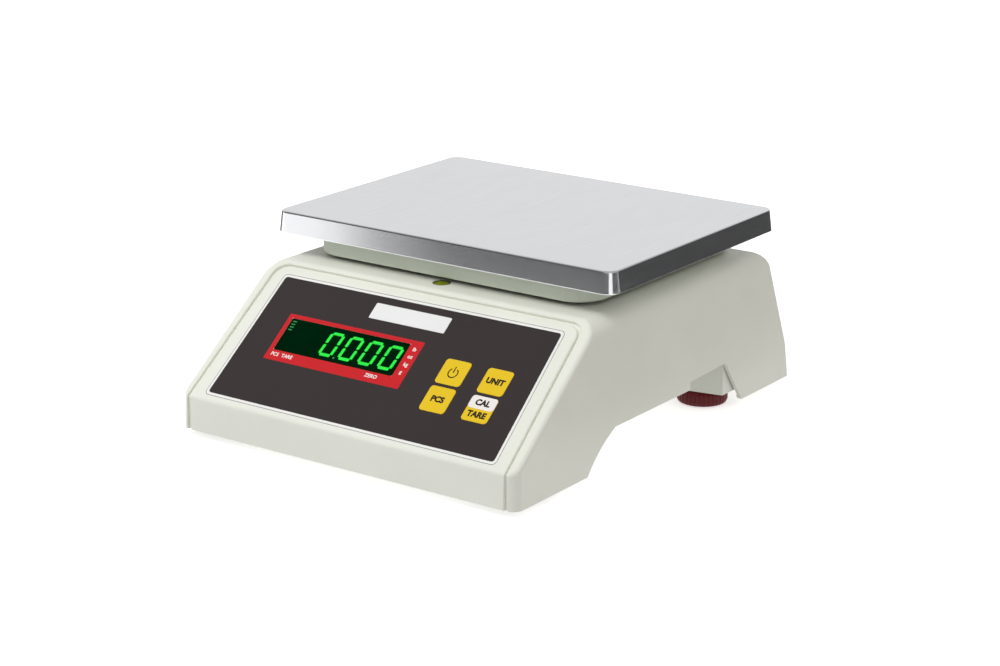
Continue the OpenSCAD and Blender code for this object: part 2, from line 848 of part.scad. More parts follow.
// Solid of the pan of height h, shrunk by g all round
module pan_block(h, g) {
  w = pan_w / 2 - g;
  d = pan_d / 2 - g;
  r = pan_corner_r - g;
  hull() {
    linear_extrude(0.2) polygon(rounded([[-w, -d, r], [w, -d, r], [w, d, r], [-w, d, r]]));
    soft_block(2 * (w - pan_flare), 2 * (d - pan_flare), h, r, pan_edge_r - g, false);
  }
}

module platter() {
  color([0.84, 0.84, 0.85]) translate([0, pan_y, pan_top - pan_skirt]) difference() {
    pan_block(pan_skirt, 0);
    translate([0, 0, -1]) pan_block(pan_skirt + 1 - pan_sheet, pan_sheet);
  }
}

upper_housing();
bottom_cover();
housing_screws();
foot_nuts();
foot_wheel(0);  // foot_wheel_front_left
foot_wheel(1);  // foot_wheel_front_right
foot_wheel(2);  // foot_wheel_rear_left
foot_wheel(3);  // foot_wheel_rear_right
foot_stud(0);  // foot_stud_front_left
foot_stud(1);  // foot_stud_front_right
foot_stud(2);  // foot_stud_rear_left
foot_stud(3);  // foot_stud_rear_right
foot_sole(0);  // foot_sole_front_left
foot_sole(1);  // foot_sole_front_right
foot_sole(2);  // foot_sole_rear_left
foot_sole(3);  // foot_sole_rear_right
panel_sheet();
badge_plate();
display_window();
led_display();
main_board();
board_screws();
key_switches();
board_connectors();
power_key();
unit_key();
pieces_key();
tare_key();
spirit_level_cup();
spirit_level_vial();
dc_inlet();
dc_inlet_nut();
battery();
battery_bracket();
battery_bracket_screws();
battery_cover();
battery_cover_screws();
cell_plate();
cell_plate_screws();
lower_spacer();
lower_cell_screws();
overload_stops();
load_cell();
load_cell_cable();
power_leads();
upper_spacer();
spider();
upper_cell_screws();
platter_support();
support_screws();
platter_buffers();
platter();
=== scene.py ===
"""Looks of a counting scale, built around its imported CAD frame.

Metres, in the frame's own axes: X to the right, Y to the back, Z up, with the bench at Z = 0.
Places on the sloping front are in the panel's own axes: U across, V up the slope and N out of it,
with V = 0 at the lower edge of the printed sheet and N = 0 on its face.
"""

import json
import math

import bmesh
import bpy
from mathutils import Matrix, Vector


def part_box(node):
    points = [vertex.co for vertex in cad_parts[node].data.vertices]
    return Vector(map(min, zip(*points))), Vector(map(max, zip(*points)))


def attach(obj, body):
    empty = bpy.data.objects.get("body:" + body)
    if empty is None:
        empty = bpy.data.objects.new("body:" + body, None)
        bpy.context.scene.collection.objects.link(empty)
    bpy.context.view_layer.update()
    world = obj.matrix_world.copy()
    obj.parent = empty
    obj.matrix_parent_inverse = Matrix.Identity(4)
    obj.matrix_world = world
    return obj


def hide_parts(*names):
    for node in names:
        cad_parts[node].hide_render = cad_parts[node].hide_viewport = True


MM = 0.001

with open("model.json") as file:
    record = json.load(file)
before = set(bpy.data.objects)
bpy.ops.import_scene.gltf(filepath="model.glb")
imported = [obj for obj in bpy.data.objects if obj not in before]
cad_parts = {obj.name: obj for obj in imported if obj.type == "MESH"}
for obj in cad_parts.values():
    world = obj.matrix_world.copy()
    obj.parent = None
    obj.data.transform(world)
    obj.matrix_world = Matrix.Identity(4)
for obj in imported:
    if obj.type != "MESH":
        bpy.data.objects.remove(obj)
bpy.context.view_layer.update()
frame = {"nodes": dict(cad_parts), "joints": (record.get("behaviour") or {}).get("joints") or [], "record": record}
nodes = frame["nodes"]


# ---------------------------------------------------------------- camera

CAMERA_PLACE = Vector((0.9453, -1.3144, 0.5502))
CAMERA_AZIMUTH = 35.59
CAMERA_ELEVATION = 17.05
CAMERA_ROLL = 0.08
CAMERA_LENS = 88.57
SENSOR_WIDTH = 36
NEAREST_SEEN = 0.05


def make_camera():
    data = bpy.data.cameras.new("camera")
    data.lens = CAMERA_LENS
    data.sensor_width = SENSOR_WIDTH
    data.clip_start = NEAREST_SEEN
    camera = bpy.data.objects.new("camera", data)
    bpy.context.scene.collection.objects.link(camera)
    turn = Matrix.Rotation(math.radians(CAMERA_AZIMUTH), 4, "Z")
    tip = Matrix.Rotation(math.radians(90 - CAMERA_ELEVATION), 4, "X")
    roll = Matrix.Rotation(math.radians(CAMERA_ROLL), 4, "Z")
    camera.matrix_world = Matrix.Translation(CAMERA_PLACE) @ turn @ tip @ roll
    bpy.context.scene.camera = camera


# ---------------------------------------------------------------- materials

WHITE = (1, 1, 1, 1)
BLACK = (0, 0, 0, 1)
LEAST_ROUGHNESS = 0.02

# Where most of a noise texture's values lie
NOISE_LOW = 0.3
NOISE_HIGH = 0.7

# Sockets of a Mix node that mixes colours
MIX_FIRST = 6
MIX_SECOND = 7
MIX_RESULT = 2


def srgb(red, green, blue):
    """Linear colour of an sRGB colour given from 0 to 255."""
    def linear(value):
        value /= 255
        return value / 12.92 if value <= 0.04045 else ((value + 0.055) / 1.055) ** 2.4

    return (linear(red), linear(green), linear(blue), 1)


class Finish:
    """One procedural material: a Principled shader and the few nodes that vary it."""

    def __init__(self, name, colour, roughness, metallic=0.0, **sockets):
        self.material = bpy.data.materials.new(name)
        self.material.use_nodes = True
        self.tree = self.material.node_tree
        self.shader = self.tree.nodes["Principled BSDF"]
        self.colour = colour
        self.roughness = roughness
        self.shader.inputs["Base Color"].default_value = colour
        self.shader.inputs["Roughness"].default_value = roughness
        self.shader.inputs["Metallic"].default_value = metallic
        for socket, value in sockets.items():
            self.shader.inputs[socket.replace("_", " ")].default_value = value
        self.last_bump = None
        self.last_colour = None

    def add(self, kind, **values):
        node = self.tree.nodes.new(kind)
        for name, value in values.items():
            setattr(node, name, value)
        return node

    def link(self, source, target):
        self.tree.links.new(source, target)

    def place(self, scale=(1, 1, 1)):
        """Object coordinates in metres, stretched by scale."""
        coords = self.add("ShaderNodeTexCoord")
        mapping = self.add("ShaderNodeMapping")
        mapping.inputs["Scale"].default_value = scale
        self.link(coords.outputs["Object"], mapping.inputs["Vector"])
        return mapping.outputs["Vector"]

    def noise(self, size, detail=3, stretch=(1, 1, 1)):
        """Noise whose features are about size metres across."""
        node = self.add("ShaderNodeTexNoise")
        node.inputs["Scale"].default_value = 1 / size
        node.inputs["Detail"].default_value = detail
        self.link(self.place(stretch), node.inputs["Vector"])
        return node.outputs["Fac"]

    def spread(self, source, low, high):
        """Takes the usual values of a noise to the numbers from low to high."""
        node = self.add("ShaderNodeMapRange")
        node.inputs["From Min"].default_value = NOISE_LOW
        node.inputs["From Max"].default_value = NOISE_HIGH
        node.inputs["To Min"].default_value = low
        node.inputs["To Max"].default_value = high
        self.link(source, node.inputs["Value"])
        return node.outputs["Result"]

    def mix(self, factor, first, second):
        """Mix of two colours by a factor socket."""
        node = self.add("ShaderNodeMix", data_type="RGBA")
        self.link(factor, node.inputs["Factor"])
        node.inputs[MIX_FIRST].default_value = first
        node.inputs[MIX_SECOND].default_value = second
        return node.outputs[MIX_RESULT]

    def mottle(self, size, change, detail=3, stretch=(1, 1, 1)):
        """Lighter and darker patches: change is the share by which the colour varies."""
        factor = self.spread(self.noise(size, detail, stretch), 0, 1)
        shade = self.add("ShaderNodeMix", data_type="RGBA", blend_type="MULTIPLY")
        shade.inputs["Factor"].default_value = 1
        if self.last_colour is None:
            shade.inputs[MIX_FIRST].default_value = self.colour
        else:
            self.link(self.last_colour, shade.inputs[MIX_FIRST])
        dark = (1 - change, 1 - change, 1 - change, 1)
        self.link(self.mix(factor, dark, WHITE), shade.inputs[MIX_SECOND])
        self.last_colour = shade.outputs[MIX_RESULT]
        self.link(self.last_colour, self.shader.inputs["Base Color"])
        return self

    def vary_gloss(self, size, change, detail=3, stretch=(1, 1, 1)):
        """Roughness that varies by change about its own value."""
        low, high = self.roughness - change, self.roughness + change
        noise = self.noise(size, detail, stretch)
        value = self.spread(noise, max(low, LEAST_ROUGHNESS), min(high, 1))
        self.link(value, self.shader.inputs["Roughness"])
        return self

    def grain(self, size, depth, detail=2, stretch=(1, 1, 1)):
        """Fine relief: features of size metres, depth metres high."""
        node = self.add("ShaderNodeBump")
        node.inputs["Strength"].default_value = 1
        node.inputs["Distance"].default_value = depth
        self.link(self.noise(size, detail, stretch), node.inputs["Height"])
        if self.last_bump is not None:
            self.link(self.last_bump, node.inputs["Normal"])
        self.last_bump = node.outputs["Normal"]
        self.link(self.last_bump, self.shader.inputs["Normal"])
        return self


def plastic(name, colour, roughness, texture=0.5 * MM, depth=0.012 * MM, **sockets):
    """Moulded plastic: a fine spark-eroded grain, faint mottling and uneven gloss."""
    finish = Finish(name, colour, roughness, **sockets)
    finish.mottle(45 * MM, 0.035).mottle(1.1 * MM, 0.02)
    finish.vary_gloss(30 * MM, 0.05)
    finish.grain(texture, depth).grain(60 * MM, 0.05 * MM)
    return finish


def metal(name, colour, roughness, stretch=(1, 1, 1)):
    """Bare metal, with brushed lines along the axis whose stretch is small, if there is one."""
    finish = Finish(name, colour, roughness, metallic=1.0)
    finish.mottle(0.9 * MM, 0.05, 4, stretch).mottle(60 * MM, 0.02)
    finish.vary_gloss(0.7 * MM, 0.07, 4, stretch)
    finish.grain(0.45 * MM, 0.002 * MM, 3, stretch)
    return finish


def rubber(name, colour):
    """Dull rubber or cable jacket, finely speckled."""
    finish = Finish(name, colour, 0.78)
    finish.mottle(0.8 * MM, 0.15).vary_gloss(6 * MM, 0.08).grain(0.3 * MM, 0.02 * MM)
    return finish


def print_film(name, colour, roughness=0.36):
    """Ink behind a fine-grained polyester film."""
    finish = Finish(name, colour, roughness, Specular_IOR_Level=0.3)
    finish.mottle(0.35 * MM, 0.05).mottle(50 * MM, 0.03)
    finish.vary_gloss(8 * MM, 0.03)
    finish.grain(0.25 * MM, 0.003 * MM).grain(45 * MM, 0.03 * MM)
    return finish


SHELL_COLOUR = srgb(238, 239, 228)
BRUSHED_DEPTHWAYS = (1, 0.02, 1)
BRUSHED_ACROSS = (0.02, 1, 1)

finishes = {
    "housing_plastic": plastic("housing_plastic", SHELL_COLOUR, 0.40),
    "support_plastic": plastic("support_plastic", srgb(218, 226, 210), 0.45),
    "pan_steel": metal("pan_steel", srgb(226, 227, 229), 0.17, BRUSHED_DEPTHWAYS),
    "panel_print": print_film("panel_print", srgb(52, 44, 44)),
    "film_white": print_film("film_white", srgb(243, 243, 240)),
    "badge_white": print_film("badge_white", srgb(240, 240, 240)),
    "frame_red": print_film("frame_red", srgb(205, 24, 32)),
    "key_yellow": print_film("key_yellow", srgb(238, 201, 30), 0.34),
    "legend_black": print_film("legend_black", srgb(35, 26, 14)),
    "film_edge": print_film("film_edge", srgb(120, 120, 118)),
    "legend_white": print_film("legend_white", srgb(246, 240, 236)),
    "foot_red": plastic("foot_red", srgb(104, 8, 14), 0.3, 0.4 * MM, 0.004 * MM, Specular_IOR_Level=0.25),
    "rubber_black": rubber("rubber_black", srgb(32, 32, 33)),
    "zinc_steel": metal("zinc_steel", srgb(190, 193, 196), 0.36),
    "aluminium_cell": metal("aluminium_cell", srgb(208, 210, 214), 0.38, BRUSHED_ACROSS),
    "aluminium_cast": metal("aluminium_cast", srgb(180, 183, 186), 0.55),
    "circuit_green": plastic("circuit_green", srgb(18, 92, 46), 0.35),
    "connector_white": plastic("connector_white", srgb(232, 229, 214), 0.45),
    "black_plastic": plastic("black_plastic", srgb(26, 26, 27), 0.38),
    "led_black": plastic("led_black", srgb(34, 36, 34), 0.5),
    "level_ring": plastic("level_ring", srgb(66, 72, 52), 0.3),
    "battery_case": plastic("battery_case", srgb(44, 46, 52), 0.45),
    "cable_grey": rubber("cable_grey", srgb(120, 122, 126)),
    "cable_red": rubber("cable_red", srgb(160, 24, 20)),
}


def window_tint():
    """Dark green tinted window, smooth and glossy."""
    finish = Finish("window_tint", srgb(1, 34, 15), 0.14, Specular_IOR_Level=0.0)
    finish.mottle(30 * MM, 0.2).vary_gloss(12 * MM, 0.03).grain(70 * MM, 0.02 * MM)
    return finish


UNLIT_SEGMENT = srgb(10, 60, 20)
LED_UNEVENNESS = 0.72


def led_light(name, colour, strength):
    """Lit display segment, a little uneven as its diffuser is."""
    finish = Finish(name, UNLIT_SEGMENT, 0.3)
    finish.shader.inputs["Emission Strength"].default_value = strength
    glow = finish.spread(finish.noise(1.6 * MM), 0, 1)
    dim = tuple(LED_UNEVENNESS * c for c in colour[:3]) + (1,)
    finish.link(finish.mix(glow, dim, colour), finish.shader.inputs["Emission Color"])
    return finish


def level_fluid():
    """Tinted spirit under a clear dome."""
    finish = Finish("level_fluid", srgb(176, 190, 38), 0.08, Coat_Weight=1.0, Coat_Roughness=0.03)
    finish.mottle(4 * MM, 0.25).vary_gloss(5 * MM, 0.02).grain(6 * MM, 0.01 * MM)
    return finish


finishes["level_fluid"] = level_fluid()
finishes["window_tint"] = window_tint()
finishes["led_green"] = led_light("led_green", srgb(20, 250, 62), 1.0)
finishes["led_dim"] = led_light("led_dim", srgb(40, 170, 84), 0.7)


# ---------------------------------------------------------------- meshes

LEAST_RADIUS = 0.05 * MM

# Font size over the height of a capital letter
FONT_SCALE = 1.38


def finished(obj, body, finish):
    """Gives a new piece its material, slot and body."""
    obj.data.materials.clear()
    obj.data.materials.append(finishes[finish].material)
    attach(obj, body)
    return obj


def new_object(name, mesh):
    obj = bpy.data.objects.new(name, mesh)
    bpy.context.scene.collection.objects.link(obj)
    return obj


def shade_smooth(mesh, angle):
    """Smooth shading with edges sharper than angle, in degrees, kept crisp."""
    mesh.shade_smooth()
    mesh.set_sharp_from_angle(angle=math.radians(angle))


def rounded_loop(width, depth, radius, steps=10):
    """Points round a rectangle with rounded corners, anticlockwise, centred on 0."""
    points = []
    for corner, (x, y) in enumerate(((1, 1), (-1, 1), (-1, -1), (1, -1))):
        centre = Vector((x * (width / 2 - radius), y * (depth / 2 - radius)))
        for step in range(steps + 1):
            angle = math.radians(90 * (corner + step / steps))
            points.append(centre + radius * Vector((math.cos(angle), math.sin(angle))))
    return points


def round_loop(radius, steps):
    return [radius * Vector((math.cos(math.tau * i / steps), math.sin(math.tau * i / steps)))
            for i in range(steps)]


def skin(name, rings, angle=35, place=None):
    """Mesh through rings of equally many points, capped at both ends."""
    bm = bmesh.new()
    rows = [[bm.verts.new(point) for point in ring] for ring in rings]
    for low, high in zip(rows, rows[1:]):
        for i in range(len(low)):
            j = (i + 1) % len(low)
            bm.faces.new((low[i], low[j], high[j], high[i]))
    bm.faces.new(list(reversed(rows[0])))
    bm.faces.new(rows[-1])
    bmesh.ops.recalc_face_normals(bm, faces=bm.faces)
    mesh = bpy.data.meshes.new(name)
    bm.to_mesh(mesh)
    bm.free()
    if place is not None:
        mesh.transform(place)
    shade_smooth(mesh, angle)
    return new_object(name, mesh)


def slab_rings(width, depth, radius, profile, steps=10):
    """Rings of a rounded slab: profile lists (inset from the outline, height)."""
    rings = []
    for inset, height in profile:
        corner = max(radius - inset, LEAST_RADIUS)
        loop = rounded_loop(width - 2 * inset, depth - 2 * inset, corner, steps)
        rings.append([Vector((p.x, p.y, height)) for p in loop])
    return rings


def edge_arc(radius, inset, height, start, end, steps):
    """Profile points (inset, height) on an arc about a centre, from angle start to end.

    0 degrees points straight outwards and 90 degrees straight up.
    """
    points = []
    for step in range(steps + 1):
        angle = math.radians(start + (end - start) * step / steps)
        points.append((inset - radius * math.cos(angle), height + radius * math.sin(angle)))
    return points


def flat_shape(name, loops, low, high, place):
    """Thin flat piece from closed loops of 2-D points; inner loops are holes."""
    curve = bpy.data.curves.new(name, "CURVE")
    curve.dimensions = "2D"
    curve.fill_mode = "BOTH"
    for loop in loops:
        spline = curve.splines.new("POLY")
        spline.points.add(len(loop) - 1)
        for point, (x, y) in zip(spline.points, loop):
            point.co = (x, y, 0, 1)
        spline.use_cyclic_u = True
    return solid_curve(name, curve, low, high, place)


def evaluated_mesh(obj):
    """New mesh of an object as its modifiers leave it, or of a curve or text."""
    bpy.context.view_layer.update()
    depsgraph = bpy.context.evaluated_depsgraph_get()
    return bpy.data.meshes.new_from_object(obj.evaluated_get(depsgraph))


def solid_curve(name, curve, low, high, place):
    """Turns a filled 2-D curve or text into a thin solid from height low to high."""
    curve.extrude = (high - low) / 2
    holder = bpy.data.objects.new(name + "_outline", curve)
    bpy.context.scene.collection.objects.link(holder)
    mesh = evaluated_mesh(holder)
    bpy.data.objects.remove(holder)
    bpy.data.curves.remove(curve)
    mesh.transform(place @ Matrix.Translation((0, 0, (low + high) / 2)))
    mesh.name = name
    return new_object(name, mesh)


def lettering(name, words, height, centre, low, high, place, weight):
    """Flat letters about height high, centred on a point, their strokes widened by weight."""
    text = bpy.data.curves.new(name, "FONT")
    text.body = words
    text.align_x = "CENTER"
    text.align_y = "CENTER"
    text.size = height * FONT_SCALE
    text.offset = weight
    text.resolution_u = 4
    shift = Matrix.Translation((centre[0], centre[1], 0))
    return solid_curve(name, text, low, high, place @ shift)


# ---------------------------------------------------------------- the sloping panel

PRESS = next(joint for joint in frame["joints"] if joint["name"] == "power_key_press")
PANEL_OUT = -Vector(PRESS["axis"]).normalized()
PANEL_UP = Vector((0, PANEL_OUT.z, -PANEL_OUT.y))
SHEET_T = 0.5 * MM
sheet_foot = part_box("panel_sheet")[0]
PANEL_ORIGIN = Vector((0, sheet_foot.y, sheet_foot.z + SHEET_T * PANEL_OUT.z))
PANEL = Matrix((
    (1, PANEL_UP.x, PANEL_OUT.x, PANEL_ORIGIN.x),
    (0, PANEL_UP.y, PANEL_OUT.y, PANEL_ORIGIN.y),
    (0, PANEL_UP.z, PANEL_OUT.z, PANEL_ORIGIN.z),
    (0, 0, 0, 1),
))


def on_panel(node):
    """Lowest and highest corner of a CAD node in the panel's own axes."""
    back = PANEL.inverted()
    points = [back @ vertex.co for vertex in nodes[node].data.vertices]
    low = Vector([min(p[i] for p in points) for i in range(3)])
    high = Vector([max(p[i] for p in points) for i in range(3)])
    return low, high


def box_loop(low, high, radius=0.0, steps=6):
    """Rectangle between two corners as 2-D points, rounded unless the radius is 0."""
    width, height = high[0] - low[0], high[1] - low[1]
    middle = Vector(((low[0] + high[0]) / 2, (low[1] + high[1]) / 2))
    if radius == 0:
        return [Vector((x, y)) for x, y in
                ((low[0], low[1]), (high[0], low[1]), (high[0], high[1]), (low[0], high[1]))]
    return [middle + p for p in rounded_loop(width, height, radius, steps)]


def replace_slab(name, node, body, finish, radius, profile, steps):
    """A rounded slab in place of a CAD node on the panel.

    profile lists (inset from the node's outline, height over the node's top).
    """
    low, high = on_panel(node)
    middle = Matrix.Translation(((low.x + high.x) / 2, (low.y + high.y) / 2, high.z))
    rings = slab_rings(high.x - low.x, high.y - low.y, radius, profile, steps)
    piece = skin(name, rings, place=PANEL @ middle)
    finished(piece, body, finish)
    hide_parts(node)


# ---------------------------------------------------------------- printed sheet

BORDER = 2.2 * MM
PRINT_T = 0.02 * MM
FRAME_LEFT = 3.6 * MM
FRAME_RIGHT = 9.8 * MM
FRAME_BELOW = 8.2 * MM
FRAME_ABOVE = 3.1 * MM
KEYS = ("power_key", "unit_key", "pieces_key", "tare_key")
KEY_RADIUS = 2.5 * MM
SHEET_CORNER = 3.4 * MM
RIM = 0.35 * MM
RIM_DEPTH = 0.1 * MM
UPPER_EDGE = 3 * MM
SURROUND_CORNER = 0.8 * MM
MARK_WEIGHT = 0.09 * MM

sheet_lo, sheet_hi = on_panel("panel_sheet")
window_lo, window_hi = on_panel("display_window")
frame_lo = Vector((window_lo.x - FRAME_LEFT, window_lo.y - FRAME_BELOW))
frame_hi = Vector((window_hi.x + FRAME_RIGHT, window_hi.y + FRAME_ABOVE))


def sheet_outline(inset):
    """The sheet's outline, narrower at its upper edge, drawn in by inset."""
    upper = max(vertex.x for vertex in
                (PANEL.inverted() @ v.co for v in nodes["panel_sheet"].data.vertices)
                if vertex.y > sheet_hi.y - UPPER_EDGE)
    lean = (sheet_hi.x - upper) / (sheet_hi.y - sheet_lo.y)
    loop = rounded_loop(sheet_hi.x - sheet_lo.x - 2 * inset, sheet_hi.y - sheet_lo.y - 2 * inset,
                        SHEET_CORNER - inset / 2)
    middle = (sheet_hi.y + sheet_lo.y) / 2
    return [Vector((p.x * (1 - lean * (p.y + middle - sheet_lo.y) / sheet_hi.x), p.y + middle))
            for p in loop]


def make_print():
    """Dark ink inside the sheet's pale border, with gaps for the keys and the window, and a grey
    line along the sheet's edge."""
    loops = [sheet_outline(BORDER), box_loop(window_lo, window_hi)]
    for key in KEYS:
        low, high = on_panel(key)
        loops.append(box_loop(low, high, KEY_RADIUS))
    ink = flat_shape("panel_ink", loops, 0, PRINT_T, PANEL)
    finished(ink, "base", "panel_print")
    edges = [sheet_outline(0), sheet_outline(RIM)]
    rim = flat_shape("panel_rim", edges, -RIM_DEPTH, PRINT_T, PANEL)
    finished(rim, "base", "film_edge")


def make_red_frame():
    """Red surround of the window, with the names of the indicators and of the units on it."""
    loops = [box_loop(frame_lo, frame_hi, SURROUND_CORNER), box_loop(window_lo, window_hi)]
    surround = flat_shape("display_frame", loops, PRINT_T, 2 * PRINT_T, PANEL)
    finished(surround, "base", "frame_red")
    # Words, their height in millimetres and their middle
    marks = (
        ("PCS", 2.8, (frame_lo.x + 7.2 * MM, frame_lo.y + 4.8 * MM)),
        ("TARE", 2.8, (frame_lo.x + 17.5 * MM, frame_lo.y + 4.8 * MM)),
        ("ZERO", 2.8, (frame_hi.x - 24.9 * MM, frame_lo.y + 4.8 * MM)),
        ("lb", 2.9, (frame_hi.x - 4.7 * MM, window_hi.y - 3.7 * MM)),
        ("oz", 2.9, (frame_hi.x - 4.8 * MM, window_hi.y - 9.6 * MM)),
        ("kg", 2.9, (frame_hi.x - 4.7 * MM, window_hi.y - 15.9 * MM)),
        ("g", 2.9, (frame_hi.x - 5.0 * MM, window_hi.y - 22.1 * MM)),
    )
    for words, height, centre in marks:
        mark = lettering(f"mark_{words}", words, height * MM, centre,
                         2 * PRINT_T, 3 * PRINT_T, PANEL, MARK_WEIGHT)
        finished(mark, "base", "legend_white")


# ---------------------------------------------------------------- display

DIGIT_W = 12.0 * MM
DIGIT_H = 19.6 * MM
DIGIT_PITCH = 16.4 * MM
DIGIT_LEAN = 0.08
SEGMENT = 2.3 * MM
SEGMENT_GAP = 0.8 * MM
READING = "0.000"

# From the window's lower left corner to that of the first digit
DIGITS_RIGHT = 35.2 * MM
DIGITS_UP = 3.3 * MM

POINT_UP = 0.3 * MM
POINT_RADIUS = 0.75 * MM

# Charge bars, in millimetres from the window's upper left corner
BARS = 4
BAR_LEFT = 1.8
BAR_RIGHT = 5.0
BAR_TOP = 1.9
BAR_FOOT = 2.8
BAR_PITCH = 2.27
BAR_CORNER = 0.3 * MM

# Lit shapes, over the window's face
LIT_LOW = 0.005 * MM
LIT_HIGH = 0.03 * MM

# Outline of one half of a segment's end: shares of half its width along it and across it
SEGMENT_END = ((0.10, 0.35), (0.45, 0.92), (0.75, 1.0))

PANE_CORNER = 0.8 * MM
PANE_PROFILE = ((0, -1.7 * MM), (0, -0.12 * MM), (0.04 * MM, -0.03 * MM), (0.12 * MM, 0))


def segment_loop(start, end):
    """Long hexagon with softened ends between two points of a digit."""
    along = (end - start).normalized()
    side = Vector((-along.y, along.x))
    start = start + along * SEGMENT_GAP / 2
    end = end - along * SEGMENT_GAP / 2
    half = SEGMENT / 2
    outline = [(start, shift, reach) for shift, reach in SEGMENT_END]
    outline += [(end, -shift, reach) for shift, reach in reversed(SEGMENT_END)]
    upper = [point + along * shift * half + side * reach * half for point, shift, reach in outline]
    lower = [point + along * shift * half - side * reach * half
             for point, shift, reach in reversed(outline)]
    return upper + lower


def make_display():
    """Lit figures and charge bars over the tinted window. Every figure of the reading is a 0."""
    left = window_lo.x + DIGITS_RIGHT
    foot = window_lo.y + DIGITS_UP
    inset = SEGMENT / 2
    low, middle, high = inset, DIGIT_H / 2, DIGIT_H - inset
    west, east = inset, DIGIT_W - inset
    zero = (((west, low), (east, low)), ((west, high), (east, high)),
            ((west, low), (west, middle)), ((east, low), (east, middle)),
            ((west, middle), (west, high)), ((east, middle), (east, high)))
    loops = []
    for place in range(READING.count("0")):
        corner = Vector((left + place * DIGIT_PITCH, foot))
        for start, end in zero:
            loops.append([corner + Vector((p.x + DIGIT_LEAN * p.y, p.y))
                          for p in segment_loop(Vector(start), Vector(end))])
    top = window_hi.z
    digits = flat_shape("led_digits", loops, top + LIT_LOW, top + LIT_HIGH, PANEL)
    finished(digits, "base", "led_green")
    point_centre = Vector((left + (DIGIT_W + DIGIT_PITCH) / 2, foot + POINT_UP))
    dot = [point_centre + p for p in round_loop(POINT_RADIUS, 16)]
    bars = []
    for i in range(BARS):
        bar_low = Vector((window_lo.x + BAR_LEFT * MM, window_hi.y - (BAR_FOOT + BAR_PITCH * i) * MM))
        bar_high = Vector((window_lo.x + BAR_RIGHT * MM, window_hi.y - (BAR_TOP + BAR_PITCH * i) * MM))
        bars.append(box_loop(bar_low, bar_high, BAR_CORNER, 3))
    small = flat_shape("led_marks", [dot] + bars, top + LIT_LOW, top + LIT_HIGH, PANEL)
    finished(small, "base", "led_dim")
    replace_slab("display_pane", "display_window", "base", "window_tint",
                 PANE_CORNER, PANE_PROFILE, 4)


# ---------------------------------------------------------------- keys and badge

LEGEND_T = 0.03 * MM
LEGEND_HEIGHT = 4.3 * MM
LEGEND_WEIGHT = 0.3 * MM
LEGEND_GAP = 0.002 * MM
LEGENDS = {"unit_key": "UNIT", "pieces_key": "PCS"}

# Words of the two halves of the tare key, and how far above its middle they stand in millimetres
TARE_LEGENDS = (("CAL", 4.6), ("TARE", -4.4))
FIELD_INSET = 0.15 * MM
FIELD_RADIUS = 2.3 * MM
FIELD_T = 0.012 * MM

# Power symbol: a ring open at its top, in degrees from the right, and a bar
SYMBOL_RADIUS = 3.5 * MM
SYMBOL_HALF_STROKE = 0.42 * MM
SYMBOL_START = 125
SYMBOL_END = 415
SYMBOL_STEPS = 36
SYMBOL_DROP = 0.4 * MM
BAR_ENDS = (0.2 * MM, 5.0 * MM)

# Soft edge of a key's cap: inset in millimetres, and depth as a share of how proud the key is
KEY_EDGE = ((0, -1), (0.02, -0.6), (0.10, -0.28), (0.28, -0.06), (0.55, 0))
KEY_SKIRT = 0.8 * MM
KEY_DISH_INSET = 2.2 * MM
KEY_DISH = 0.01 * MM

STEM_RADIUS = 2.5 * MM
STEM_TIP = 0.86
STEM_TIP_HEIGHT = 0.3 * MM
STEM_TOP_DEPTH = 0.85 * MM


def power_symbol(centre):
    """Loops of a ring that is open at its top, and of the bar in the opening."""
    half = SYMBOL_HALF_STROKE
    angles = [math.radians(SYMBOL_START + (SYMBOL_END - SYMBOL_START) * i / SYMBOL_STEPS)
              for i in range(SYMBOL_STEPS + 1)]
    ring = [centre + (SYMBOL_RADIUS + half) * Vector((math.cos(a), math.sin(a))) for a in angles]
    ring += [centre + (SYMBOL_RADIUS - half) * Vector((math.cos(a), math.sin(a)))
             for a in reversed(angles)]
    low, high = BAR_ENDS
    bar = box_loop(centre + Vector((-half, low)), centre + Vector((half, high)), 0.2 * MM, 3)
    return [ring, bar]


def make_key(name):
    """Raised cap with a soft edge, and its stem. Returns its middle and its two corners."""
    low, high = on_panel(name)
    proud = high.z - PRINT_T
    profile = [(0, -KEY_SKIRT)]
    profile += [(inset * MM, share * proud) for inset, share in KEY_EDGE]
    profile += [(KEY_DISH_INSET, -KEY_DISH)]
    replace_slab(name + "_cap", name, name, "key_yellow", KEY_RADIUS, profile, 12)
    middle = Vector(((low.x + high.x) / 2, (low.y + high.y) / 2))
    heights = (low.z, low.z + STEM_TIP_HEIGHT, high.z - STEM_TOP_DEPTH)
    stem = [[Vector((p.x, p.y, z)) for p in round_loop(STEM_RADIUS, 32)] for z in heights]
    stem[0] = [Vector((p.x * STEM_TIP, p.y * STEM_TIP, p.z)) for p in stem[0]]
    post = skin(name + "_stem", stem, place=PANEL @ Matrix.Translation((middle.x, middle.y, 0)))
    finished(post, name, "key_yellow")
    return middle, low, high


def make_legend(key, words, centre, low, high):
    """Black name of a key, between heights low and high."""
    legend = lettering("legend_" + words, words, LEGEND_HEIGHT, centre, low, high, PANEL, LEGEND_WEIGHT)
    finished(legend, key, "legend_black")


